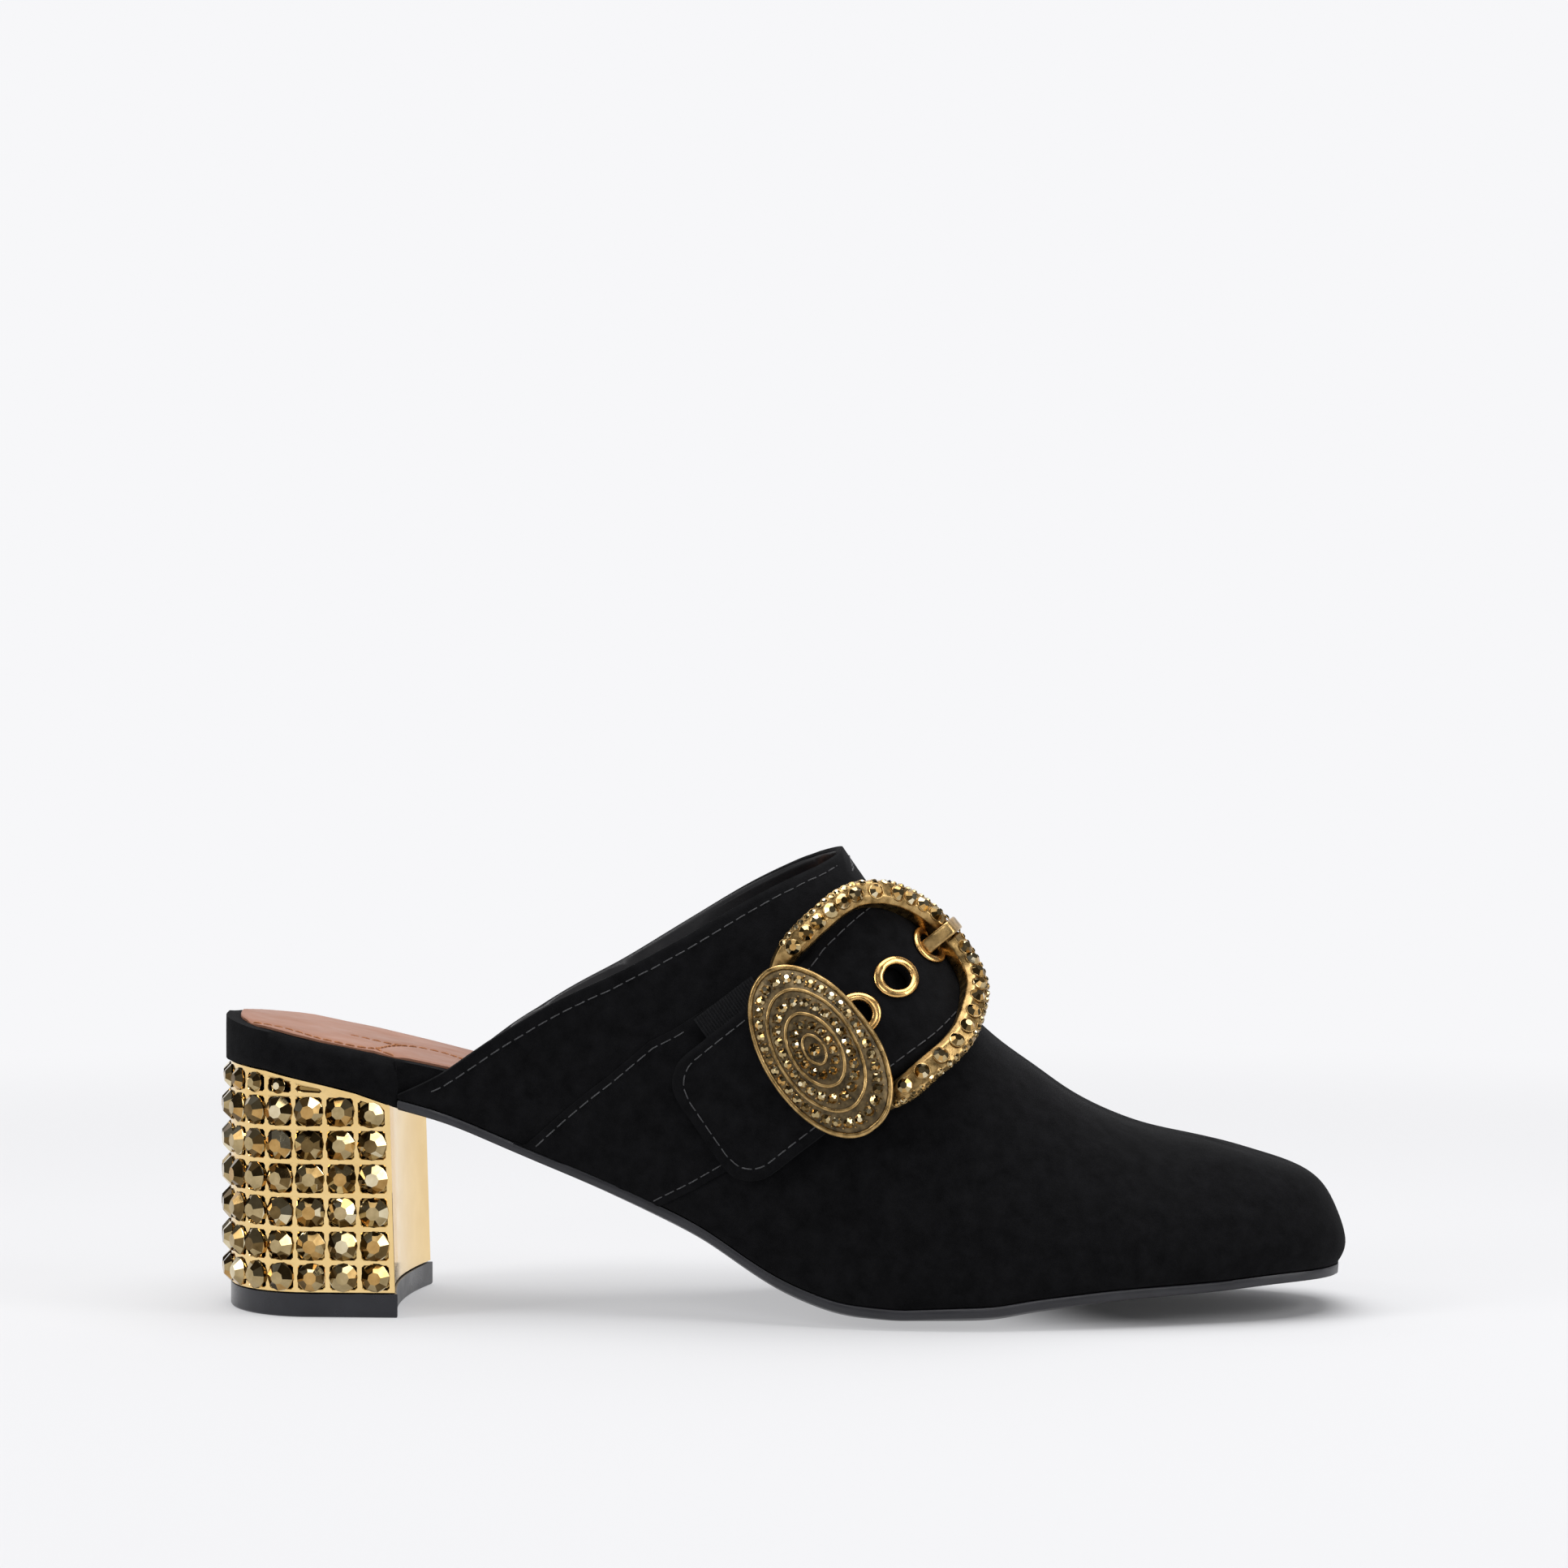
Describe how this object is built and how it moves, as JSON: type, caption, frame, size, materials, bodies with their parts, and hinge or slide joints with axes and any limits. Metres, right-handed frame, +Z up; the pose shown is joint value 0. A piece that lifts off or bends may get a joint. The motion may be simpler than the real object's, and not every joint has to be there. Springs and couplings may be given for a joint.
{
  "type": "block heel mule shoe",
  "caption": "Right mule shoe with open heel, suede upper, buckled strap over the instep, block heel with crystal cells and a padded leather insole.",
  "frame": {"origin": "centre of the heel tip's ground face, on the ground plane", "axes": "+X from the heel to the toe, +Y to the inner side of the foot, +Z up"},
  "size_m": [0.2525, 0.0864, 0.1026],
  "materials": {
    "black_suede": "brushed suede, matte near black",
    "sole_leather": "satin dark grey edge",
    "heel_rubber": "matte blue-black",
    "insole_leather": "smooth padded leather, tan pink",
    "heel_gold": "polished gold plate",
    "antique_brass": "antique brass with dark recesses",
    "eyelet_gold": "satin gold",
    "elastic": "ribbed black elastic"
  },
  "bodies": {
    "root": {"top_lift": "heel_rubber", "heel_block": "heel_gold", "outsole": "sole_leather", "footbed": "black_suede", "sock": "insole_leather", "upper": "black_suede", "buckle_gore": "elastic", "buckle_strap": "black_suede", "buckle_frame": "antique_brass", "buckle_boss": "antique_brass", "buckle_prong": "antique_brass", "eyelet_1": "eyelet_gold", "eyelet_2": "eyelet_gold", "eyelet_3": "eyelet_gold"}
  },
  "joints": []
}
